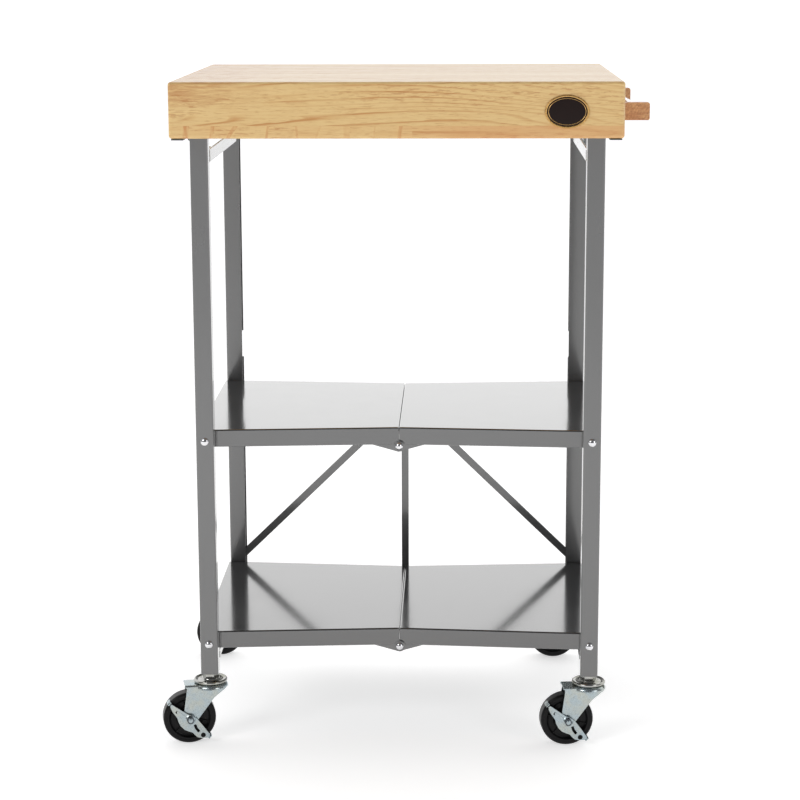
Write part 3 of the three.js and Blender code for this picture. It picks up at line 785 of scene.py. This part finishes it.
# ---- legs and rails ----
def add_front_leg(side):
    node = f"leg_front_{side}"
    low, high = span(node)
    outer = rounded_rectangle(low.x, low.y, high.x, high.y, TUBE_CORNER)
    wall = TUBE_WALL
    inner = rounded_rectangle(low.x + wall, low.y + wall, high.x - wall, high.y - wall, TUBE_CORNER - wall)
    ends = ((outer, low.z), (outer, high.z), (inner, high.z), (inner, low.z))
    tube = through_rings([[(x, y, z) for x, y in plan] for plan, z in ends], closed=True)
    piece(node + "_tube", soften_sharp(tube, 0.25, 1, 60), "grey", f"frame_{side}", [node])


def add_rear_leg(side):
    """A channel, open towards the middle of the cart, with a notch in its rear flange."""
    node = f"leg_rear_{side}"
    low, high = span(node)
    way = SIDES[side]
    back, mouth = (high.x, low.x) if way > 0 else (low.x, high.x)
    web = back - way * TUBE_WALL
    front_face, rear_face = low.y + TUBE_WALL, high.y - TUBE_WALL
    corners = [(back, low.y), (mouth, low.y), (mouth, front_face), (web, front_face),
               (web, rear_face), (mouth, rear_face), (mouth, high.y), (back, high.y)]
    bend, tip = TUBE_CORNER, 0.4
    plan = rounded_polygon(corners, [bend, tip, tip, bend - TUBE_WALL, bend - TUBE_WALL, tip, tip, bend])
    channel = prism(plan, low.z, high.z, axis="Z")
    middle_y = (low.y + high.y) / 2
    x_range = sorted((web, mouth - way * 8))
    opening = rounded_rectangle(x_range[0], NOTCH[0], x_range[1], NOTCH[1], 2.5)
    notch = prism(opening, middle_y, high.y + 2)
    piece(node + "_channel", combined(channel, notch), "grey", f"frame_{side}", [node])


def weld_bead(x, y, low, high):
    """A rippled weld along Z."""
    steps = max(8, int((high - low) * 1.6))
    profile = [(0, low)]
    for i in range(steps + 1):
        swell = 1 - 0.14 * math.cos(i * 2.1) - (0.35 if i in (0, steps) else 0)
        profile.append((WELD_RADIUS * swell, low + (high - low) * i / steps))
    return lathe(profile + [(0, high)], (x, y, 0), 12, "Z")


def add_rails(side):
    for level in ("top", "bottom"):
        node = f"rail_{level}_{side}"
        low, high = span(node)
        bar = rounded_box(low, high, 0.7, 3)
        x = (low.x + high.x) / 2
        beads = [weld_bead(x, y, low.z + 1, high.z - 1) for y in (low.y, high.y)]
        piece(node + "_bar", joined(bar, *beads), "grey", f"frame_{side}", [node], 50)


def add_frames():
    for side in SIDES:
        add_front_leg(side)
        add_rear_leg(side)
        add_rails(side)
    add_hinge_brackets()
    add_rest_bracket()


# ---- folding shelves ----
def panel_plan(seam, half_depth, inset):
    """Plan outline of a half panel: the leg pivot is at 0 and the centre seam at +X."""
    outer, ends, centre = -PANEL_END + inset, half_depth - inset, PANEL_CENTRE_HALF - inset
    corners = [(outer, -ends), (PANEL_STRAIGHT, -ends), (seam - inset, -centre),
               (seam - inset, centre), (PANEL_STRAIGHT, ends), (outer, ends)]
    tight = max(1.6 - inset, 0.3)
    return rounded_polygon(corners, [tight, 60, tight, tight, 60, tight])


def panel_shell(seam, half_depth):
    """A pressed sheet: a flat top with flanges bent down all round."""
    bend, thick = PANEL_BEND, PANEL_SHEET
    outside = [(inset, PANEL_TOP - bend + rise) for inset, rise in quarter(bend, 5)]
    inside = [(thick + inset, PANEL_TOP - bend + rise) for inset, rise in quarter(bend - thick, 5)]
    lip = [(thick, PANEL_FLANGE + 0.3), (thick * 0.7, PANEL_FLANGE), (thick * 0.3, PANEL_FLANGE),
           (0, PANEL_FLANGE + 0.3)]
    levels = inside[::-1] + lip + outside
    rings = [[(x, y, z) for x, y in panel_plan(seam, half_depth, inset)] for inset, z in levels]
    return through_rings(rings, capped=True)


def lug_outline(seam_pivot, pin_z):
    """A hinge lug: it hangs under the sheet and ends in an eye round the centre pin."""
    top = PANEL_TOP - PANEL_SHEET - 0.4
    start = (seam_pivot - 6, top)
    corner = (seam_pivot - LUG_REACH, top)
    eye = arc(seam_pivot, pin_z, LUG_RADIUS, 255.6, 450, 24)
    return [start, corner, (corner[0], PANEL_FLANGE + 1)] + eye


def lug_boss(seam_pivot, pin_z, row, lug_low):
    """The pressed ring round a lug's hole, on the lug's outer face."""
    way = ROWS[row]
    face = lug_low if way < 0 else lug_low + LUG_THICK
    edge = LUG_RADIUS - 0.2
    ring = [(5.0, -0.5), (edge, -0.5), (edge, 0.2), (edge - 0.7, 0.55), (5.6, 0.55)]
    profile = [(radius, face + way * out) for radius, out in ring]
    return lathe(profile, (seam_pivot, 0, pin_z), 40, closed=True)


def end_cut(reach):
    """What is taken off below the outer end, so that the end turns around the leg pivot."""
    outline = [(-2 * PANEL_END, 0), (-2 * PANEL_END, 2 * PANEL_FLANGE), (0, 2 * PANEL_FLANGE)]
    return prism(outline + arc(0, 0, PANEL_END, 270, 180, 16), -reach, reach)


def half_panel(seam_pivot, half_depth, pin_z):
    """One pressed half shelf, cut out around its pivots."""
    seam = seam_pivot - 0.15
    shell = panel_shell(seam, half_depth)
    reach = half_depth + 5
    lug_inside = 160
    cutters = [
        end_cut(reach),
        rounded_box((-PANEL_END - 4, -half_depth + 8, -2 * PANEL_TOP),
                    (-PANEL_END + 4, half_depth - 8, 1), 1.5, 2),
        rounded_box((seam - 4, -lug_inside, -2 * PANEL_TOP), (seam + 4, lug_inside, 0), 1.5, 2),
        cylinder_y((seam_pivot, 0, pin_z), NOTCH_RADIUS, -reach, reach),
    ]
    for cutter in cutters:
        shell = combined(shell, cutter)
    return shell


def add_shelf(level, fold_joint, seam_joint):
    """Both halves of a shelf, with their lugs."""
    pivot, seam = PIVOT[fold_joint], PIVOT[seam_joint]
    low, high = span(f"shelf_{level}_left")
    half_depth = (high.y - low.y) / 2
    centre_y = (high.y + low.y) / 2
    width = seam.x - pivot.x
    pin_z = seam.z - pivot.z
    shell = half_panel(width, half_depth, pin_z)
    outline = lug_outline(width, pin_z)
    for side, way in SIDES.items():
        place = Vector((pivot.x, centre_y, pivot.z))
        sheet = shell.copy()
        if way > 0:
            turned(sheet, "Z", 180)
            place.x = 2 * seam.x - pivot.x
        node = f"shelf_{level}_{side}"
        piece(node + "_sheet", moved(sheet, place), "shelf", f"{level}_{side}", [node])
        for row in ROWS:
            lug_low = LUG_LOW[side, row]
            lug = joined(prism(outline, lug_low, lug_low + LUG_THICK, 0.3),
                         lug_boss(width, pin_z, row, lug_low))
            if way > 0:
                mirrored(lug)
            piece(f"{node}_lug_{row}", moved(lug, place), "grey", f"{level}_{side}")
    shell.free()


def add_bolts(level):
    for row, way in ROWS.items():
        for side in SIDES:
            node = f"bolt_{level}_{row}_{side}"
            low, high = span(node)
            centre = (low + high) / 2
            inner, outer = row_ends(low, high, way)
            leg_low, leg_high = span(f"leg_{row}_{side}")
            face = leg_low.y if way < 0 else leg_high.y
            head = [(0, face - way * 1)] + dome(HEAD_RADIUS, abs(outer - face) - 0.1, face + way * 0.1, way)
            leg_back = face - way * (leg_high.y - leg_low.y)
            washer = cylinder_y(centre, WASHER_RADIUS, leg_back - way * 0.3, leg_back - way * 1.6, 32)
            bolt = joined(lathe(head, centre, 40), shank(centre, inner, face),
                          nut(centre, BOLT_NUT, inner + way * 0.5, inner + way * 4), washer)
            piece(node + "_steel", bolt, "chrome", f"frame_{side}", [node])


def add_centre_pins(level):
    for row, way in ROWS.items():
        node = f"centre_pin_{level}_{row}"
        low, high = span(node)
        centre = (low + high) / 2
        inner, outer = row_ends(low, high, way)
        face = outer - way * (4.8 if row == "front" else 2.6)
        head = [(0, face - way * 1)] + dome(HEAD_RADIUS, abs(outer - face), face, way)
        parts = [lathe(head, centre, 40), shank(centre, inner, face),
                 nut(centre, CENTRE_PIN_NUT, inner, inner + way * 2.5)]
        if row == "rear":
            bar_low, _ = span("link_bar")
            parts.append(cylinder_y(centre, 5, inner + 7.8, bar_low.y - 0.3, 32))
        piece(node + "_steel", joined(*parts), "chrome", f"{level}_left", [node])


def add_shelves():
    shelves = (("mid", "fold", "mid_seam"), ("low", "low_left_pivot", "low_seam"))
    for level, fold_joint, seam_joint in shelves:
        add_shelf(level, fold_joint, seam_joint)
        add_bolts(level)
        add_centre_pins(level)


# ---- link bar, slider and braces at the rear ----
def add_linkage():
    """The upright link bar, the two braces and the rivets at their feet."""
    low, high = span("link_bar")
    x = (low.x + high.x) / 2
    eye = (high.x - low.x) / 2
    upper, lower = Vector((x, 0, high.z - eye)), Vector((x, 0, low.z + eye))
    bar = prism(link_outline(upper, lower, eye), low.y, high.y, 0.5)
    piece("link_bar_steel", bar, "grey", "link", ["link_bar"])
    for side in SIDES:
        node = f"brace_{side}"
        foot = PIVOT[f"brace_{side}_pivot"]
        low, high = span(node)
        apex = Vector((x, 0, high.z - eye))
        flat_high = high.y if side == "left" else low.y + BAR_THICK
        parts = [prism(link_outline(foot, apex, eye), low.y, flat_high, 0.5)]
        if side == "right":
            tip = [(0, low.y + 1)] + dome(5, high.y - flat_high, flat_high, 1)
            parts.append(lathe(tip, apex))
        piece(node + "_steel", joined(*parts), "grey", f"brace_{side}_body", [node])
        rivet = f"brace_rivet_{side}"
        low, high = span(rivet)
        centre = (low + high) / 2
        _, leg_high = span(f"leg_rear_{side}")
        outer_head = [(0, leg_high.y - 1)] + dome(5, high.y - leg_high.y, leg_high.y, 1)
        inner_head = [(0, low.y + 1.7)] + dome(5, 1.7, low.y + 1.7, -1)
        shaft = shank(centre, low.y + 1, leg_high.y)
        rivet_steel = joined(lathe(outer_head, centre), lathe(inner_head, centre), shaft)
        piece(rivet + "_steel", rivet_steel, "chrome", f"frame_{side}", [rivet])
    add_slider(apex)


def add_slider(apex):
    """A sleeve that runs on the link bar, with a tongue and a boss that meet the braces' tips."""
    low, high = span("brace_slider")
    bar_low, bar_high = span("link_bar")
    x, sleeve_high, back = apex.x, low.z + 20, bar_high.y + 3.2
    sleeve = rounded_box((x - 9, low.y, low.z), (x + 9, back, sleeve_high), 1.0, 3)
    channel = rounded_box((x - 5.4, bar_low.y - 0.4, low.z - 5),
                          (x + 5.4, bar_high.y + 0.4, sleeve_high + 5), 0.3, 1)
    tongue = prism(rounded_rectangle(x - 7, low.z + 1, x + 7, high.z, 5), back - 0.3, back + 3, 0.5)
    boss = cylinder_y(apex, 5, back, high.y, 36)
    parts = joined(combined(sleeve, channel), tongue, boss)
    piece("brace_slider_steel", parts, "zinc", "slider", ["brace_slider"])


# ---- casters ----
class Caster:
    """One caster: pieces are made around the wheel's axle, with the swivel axis at X = trail."""

    def __init__(self, corner):
        self.corner = corner
        self.axle, self.swivel = PIVOT[f"roll_{corner}"], PIVOT[f"swivel_{corner}"]
        back = self.swivel - self.axle
        self.trail = math.hypot(back.x, back.y)
        self.turn = math.degrees(math.atan2(back.y, back.x))
        self.crown_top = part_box(f"caster_fork_{corner}")[1].z / MM - self.axle.z

    def put(self, bm):
        turned(bm, "Z", self.turn)
        return moved(bm, self.axle)


def add_cup(caster, body):
    """Polished swivel cup: a rolled lip over the balls, a dish, and a hexagon neck under the leg."""
    node = f"caster_cup_{caster.corner}"
    low, high = span(node)
    centre = (low + high) / 2
    radius = (high.x - low.x) / 2
    z = low.z
    lip = [(radius - 2.3 + 2.3 * math.cos(t), z + 2.7 + 2.4 * math.sin(t))
           for t in [math.radians(a) for a in range(-75, 100, 12)]]
    profile = [(0, z), (radius - 7, z), (radius - 5.4, z + 0.2)] + lip
    profile += [(radius - 3.4, z + 4.5), (radius - 5.2, z + 3.6), (radius - 7.5, z + 3.4), (14.6, z + 4.0),
                (13.4, z + 5.0), (12.8, z + 6.4), (12.2, z + 6.9), (0, z + 6.9)]
    cup = lathe(profile, centre, 96, "Z")
    leg_low, _ = span(f"leg_{caster.corner}")
    neck = prism(hex_outline(centre.x, centre.y, 20), z + 6.5, leg_low.z - 0.3, 0.8, axis="Z")
    plug_half = 10.6
    plug = rounded_box((centre.x - plug_half, centre.y - plug_half, leg_low.z - 0.4),
                       (centre.x + plug_half, centre.y + plug_half, high.z), 1.5, 2)
    piece(node + "_chrome", joined(cup, neck, plug), "cup", body, [node], 50)


def u_section(half_width, low, high, bend, thick):
    """A sheet bent down on both sides, as an outline across the fork."""
    path = [(-half_width, low), (-half_width, high), (half_width, high), (half_width, low)]
    return sheet_outline(path, thick, bend)


def fork_side(trail, top):
    """Side view of the fork around the axle: an eye at the axle, and a long top over the wheel."""
    corners = [(-9.6, 2.4), (-3.6, top - 5), (-6.5, top - 4), (-6.5, top + 4), (trail + 22, top + 4),
               (trail + 20.5, top - 7), (trail + 3, top - 21), (6.4, -8.4)]
    return rounded_polygon(corners, [4, 1.5, 0.6, 1, 1, 6, 24, 5])


def add_fork(caster):
    """A pressed fork: bent arms, a round disc under the swivel cup and raised axle rims."""
    node = f"caster_fork_{caster.corner}"
    trail, top = caster.trail, caster.crown_top
    half, sheet = 13.7, 2.0
    section = u_section(half, -14, top - sheet / 2 - 0.4, 1.6, sheet)
    bent = prism(section, -9, trail + 21, axis="X")
    side = prism(fork_side(trail, top), -half - 5, half + 5)
    arms = combined(bent, side, "INTERSECT")
    cap = [(0, -3), (20.5, -3), (23.4, -6.4), (24.2, -6.8), (25.0, -6.0), (24.9, -4.4), (23.6, -2.0),
           (21.0, -0.3), (19.0, 0), (0, 0)]
    disc = lathe([(r, top + drop) for r, drop in cap], (trail, 0, 0), 96, "Z")
    parts = [soften_sharp(arms, 0.35, 2, 55), disc]
    for way in (-1, 1):
        rim = [(0, way * half)] + dome(8.8, 0.5, way * (half + 0.9), way, 3)
        parts.append(lathe(rim, segments=40))
    piece(node + "_steel", caster.put(joined(*parts)), "zinc", f"fork_{caster.corner}", [node])


WHEEL_HALF_WIDTH = 11


def add_wheel(caster):
    """A moulded wheel: crowned tread, a raised rim ring, a recessed web with ribs, and a hub."""
    node = f"caster_wheel_{caster.corner}"
    radius, half = caster.axle.z, WHEEL_HALF_WIDTH
    dips = [(3.7, 0.3), (8.4, 0), (9.0, 0.6), (9.6, 3.4), (11.0, 4.2), (19.0, 4.2), (19.6, 3.6),
            (20.6, 3.6), (21.2, 4.2), (26.4, 3.9), (28.4, 2.6), (29.4, 0.7), (30.1, 0.1), (31.6, 0.1),
            (32.0, 0.5), (32.8, 0.5), (33.2, 0.1), (radius - 3.0, 0.2)]
    face = [(r, half - dip) for r, dip in dips]
    shoulder = [(radius - 3.4 + 3.4 * math.sin(t), half - 3.6 + 3.4 * math.cos(t))
                for t in [math.radians(a) for a in (15, 30, 45, 60, 75)]]
    outer = face + shoulder + [(radius - 0.03, half - 4.6), (radius, half - 7), (radius, 0)]
    profile = outer + [(r, -a) for r, a in outer[-2::-1]]
    wheel = lathe(profile, segments=128, closed=True)
    ribs = []
    for way in (-1, 1):
        for k in range(6):
            y = way * (half - 3.2)
            rib = rounded_box((9.0, y - 1.4, -0.8), (29.0, y + 1.4, 0.8), 0.5, 2)
            ribs.append(turned(rib, "Y", 60 * k + 15))
    whole = caster.put(joined(wheel, *ribs))
    piece(node + "_tyre", whole, "rubber", f"wheel_{caster.corner}", [node], 50)


def add_axle(caster, braked):
    """The axle with its nuts; it is longer where it carries a brake lever."""
    node = f"caster_axle_{caster.corner}"
    front = -19.9 if braked else -16.0
    rear = 16.0
    parts = [cylinder_y(ORIGIN, AXLE_RADIUS, front - 3.6, rear + 2, 32),
             nut(ORIGIN, AXLE_NUT, rear - 0.4, rear + 2.6),
             lathe([(0, front - 3.4)] + dome(3.0, 1.0, front - 3.4, -1, 4), segments=28)]
    if not braked:
        parts.append(cylinder_y(ORIGIN, 6.2, front - 0.2, front + 0.9, 40))
    piece(node + "_steel", caster.put(joined(*parts)), "zinc", f"fork_{caster.corner}", [node])
    # The front nut is drawn in the darker zinc: painted recess shade, where the rear nut stays plain zinc.
    front_nut = nut(ORIGIN, BRAKE_NUT, front - 3.0, front)
    piece(node + "_nut", caster.put(front_nut), "recess_shaded_zinc", f"fork_{caster.corner}")


BRAKE_TILT = 43.0
BRAKE_BACK = -16.2
BRAKE_SHEET = 1.5
BRAKE_SLOTS = [[(-24, -4.4), (-16, -3.6), (-9.8, -4.6)], [(9.8, -1.4), (15, -4.2), (22, -5.6)]]


def brake_outline():
    """A pressed lever: nearly straight above, with three lobes below."""
    upper = [(40, -0.6), (36, 0.4), (24, 3.0), (15, 4.6), (7, 6.2), (0, 5.2), (-9, 2.4), (-24, 0.6),
             (-35, -0.4)]
    lower = [(-36.5, -2.6), (-33, -5.6), (-27, -8.0), (-20.5, -9.4), (-15.5, -10.6), (-11, -13.6),
             (-4, -16.4), (4, -16.8), (11, -14.6), (15.5, -12.6), (20, -13.2), (26, -13.4), (32, -10.0),
             (38, -4.4)]
    corners = upper + lower
    return rounded_polygon(corners, [1.0] * len(corners), 3)


def shrunk(outline, share, about):
    """The outline scaled towards a point."""
    return [(about[0] + (u - about[0]) * share, about[1] + (v - about[1]) * share) for u, v in outline]


def add_brake(caster):
    """Pressed brake lever: a lobed plate with a turned-up top edge, a swage and a pad at each end."""
    node = f"brake_lever_{caster.corner}"
    back, front = BRAKE_BACK, BRAKE_BACK - BRAKE_SHEET
    plate = prism(brake_outline(), front, back, 0.4)
    slots = joined(*[prism(sheet_outline(path, 4.0, 2), front - 3, back + 3) for path in BRAKE_SLOTS])
    swage = prism(shrunk(brake_outline(), 0.66, (2, -5.4)), front - 0.7, front + 0.3, 0.6, 3)
    top_line = [(-36, -0.6), (-24, 0.9), (-9, 2.8), (1, 5.6), (7, 6.5), (15, 5.0), (24, 3.4), (37, 0.4)]
    flange = prism(sheet_outline(top_line, 1.3, 3), front - 1.5, back - 0.2, 0.4)
    hole = cylinder_y((30.0, 0, -5.6), 3.6, front - 3, back + 3, 28)
    cuts = joined(hole, slots)
    parts = [combined(plate, cuts.copy()), combined(swage, cuts), flange]
    for start, end, reach in ((-39.4, -37.6, 5.0), (38.6, 40.6, 7.0)):
        pad_back = -WHEEL_HALF_WIDTH + reach
        parts.append(rounded_box((start, front - 1.2, -4.6), (end, back, 1.6), 0.6, 2))
        outer_low, outer_high = (-41.0, -39.2) if start < 0 else (39.2, 41.0)
        parts.append(rounded_box((outer_low, front + 0.3, -4.6), (outer_high, pad_back, 1.6), 0.6, 2))
    collar = lathe([(3.5, front - 1.6), (6.2, front - 1.6), (7.6, front - 0.5), (7.6, front + 0.4),
                    (3.5, front + 0.4)], segments=36, closed=True)
    lever = joined(*parts, collar)
    turned(lever, "Y", BRAKE_TILT)
    piece(node + "_steel", caster.put(lever), "zinc", f"brake_{caster.corner}", [node])


def add_casters():
    """All four casters; only the front ones have brakes."""
    for row in ROWS:
        for side in SIDES:
            caster = Caster(f"{row}_{side}")
            braked = row == "front"
            add_cup(caster, f"frame_{side}")
            add_fork(caster)
            add_wheel(caster)
            add_axle(caster, braked)
            if braked:
                add_brake(caster)


# ---- studio ----
WORLD_STOPS = [(0.46, (0.125, 0.125, 0.13, 1)), (0.60, (1.0, 1.0, 1.0, 1))]   # dark in front, white behind
WORLD_STRENGTH = 1.22
FLOOR_GLOW = 0.54
LIGHTS = [  # name, place, target, size (metres) and power (watts)
    ("key", (-2.3, -2.8, 2.4), (0, 0, 0.5), (1.7, 1.4), 40),
    ("fill", (2.6, -2.6, 1.5), (0, 0, 0.5), (1.4, 1.6), 19),
    ("overhead", (0.0, 1.4, 3.0), (0, 0, 0.6), (3.0, 2.0), 3),
]


def add_floor():
    """A pale floor that glows a little, so that it stays even out to the horizon."""
    bm = bmesh.new()
    bmesh.ops.create_grid(bm, x_segments=1, y_segments=1, size=60)
    mesh = bpy.data.meshes.new("studio_floor")
    bm.to_mesh(mesh)
    bm.free()
    n = Nodes("pale studio floor", Roughness=0.7, Specular_IOR_Level=0.1, Emission_Color=(1, 1, 1, 1),
              Emission_Strength=FLOOR_GLOW)
    mottle = n.noise(n.place, 3.0, 4.0)
    mesh.materials.append(n.done(n.mix(mottle, rgba(0.90, 0.90, 0.90), rgba(0.91, 0.91, 0.91))))
    floor = bpy.data.objects.new("studio_floor", mesh)
    bpy.context.scene.collection.objects.link(floor)


def add_light(name, place, target, size, power):
    light = bpy.data.lights.new(name, "AREA")
    light.shape = "RECTANGLE"
    light.size, light.size_y = size
    light.energy = power
    obj = bpy.data.objects.new(name, light)
    obj.location = place
    obj.rotation_euler = (Vector(target) - Vector(place)).to_track_quat("-Z", "Y").to_euler()
    bpy.context.scene.collection.objects.link(obj)


def add_studio():
    add_floor()
    for light in LIGHTS:
        add_light(*light)
    world = bpy.data.worlds.new("studio")
    world.use_nodes = True
    tree = world.node_tree
    background = tree.nodes["Background"]
    kinds = ("TexCoord", "SeparateXYZ", "ValToRGB", "MapRange")
    coords, split, ramp, shift = (tree.nodes.new("ShaderNode" + kind) for kind in kinds)
    shift.inputs["From Min"].default_value = -1.0
    tree.links.new(coords.outputs["Generated"], split.inputs[0])
    tree.links.new(split.outputs["Y"], shift.inputs["Value"])
    tree.links.new(shift.outputs[0], ramp.inputs[0])
    tree.links.new(ramp.outputs[0], background.inputs["Color"])
    for element, (place, colour) in zip(ramp.color_ramp.elements, WORLD_STOPS):
        element.position = place
        element.color = colour
    background.inputs["Strength"].default_value = WORLD_STRENGTH
    bpy.context.scene.world = world
    bpy.context.scene.view_settings.view_transform = "Standard"


def add_camera():
    pitch, yaw, roll = (math.radians(a) for a in (CAMERA_PITCH, CAMERA_YAW, CAMERA_ROLL))
    ahead = Vector((-math.sin(yaw) * math.cos(pitch), math.cos(yaw) * math.cos(pitch), -math.sin(pitch)))
    level = Vector((math.cos(yaw), math.sin(yaw), 0))
    upright = level.cross(ahead)
    right = level * math.cos(roll) + upright * math.sin(roll)
    up = upright * math.cos(roll) - level * math.sin(roll)
    camera = bpy.data.objects.new("camera", bpy.data.cameras.new("camera"))
    camera.data.lens = LENS
    camera.data.sensor_width = 36
    turn = Matrix((right, up, -ahead)).transposed()
    camera.matrix_world = Matrix.Translation(CAMERA_PLACE) @ turn.to_4x4()
    bpy.context.scene.collection.objects.link(camera)
    bpy.context.scene.camera = camera


add_slab()
add_plaque()
add_towel_bar()
add_straps()
add_frames()
add_shelves()
add_linkage()
add_casters()
add_studio()
add_camera()
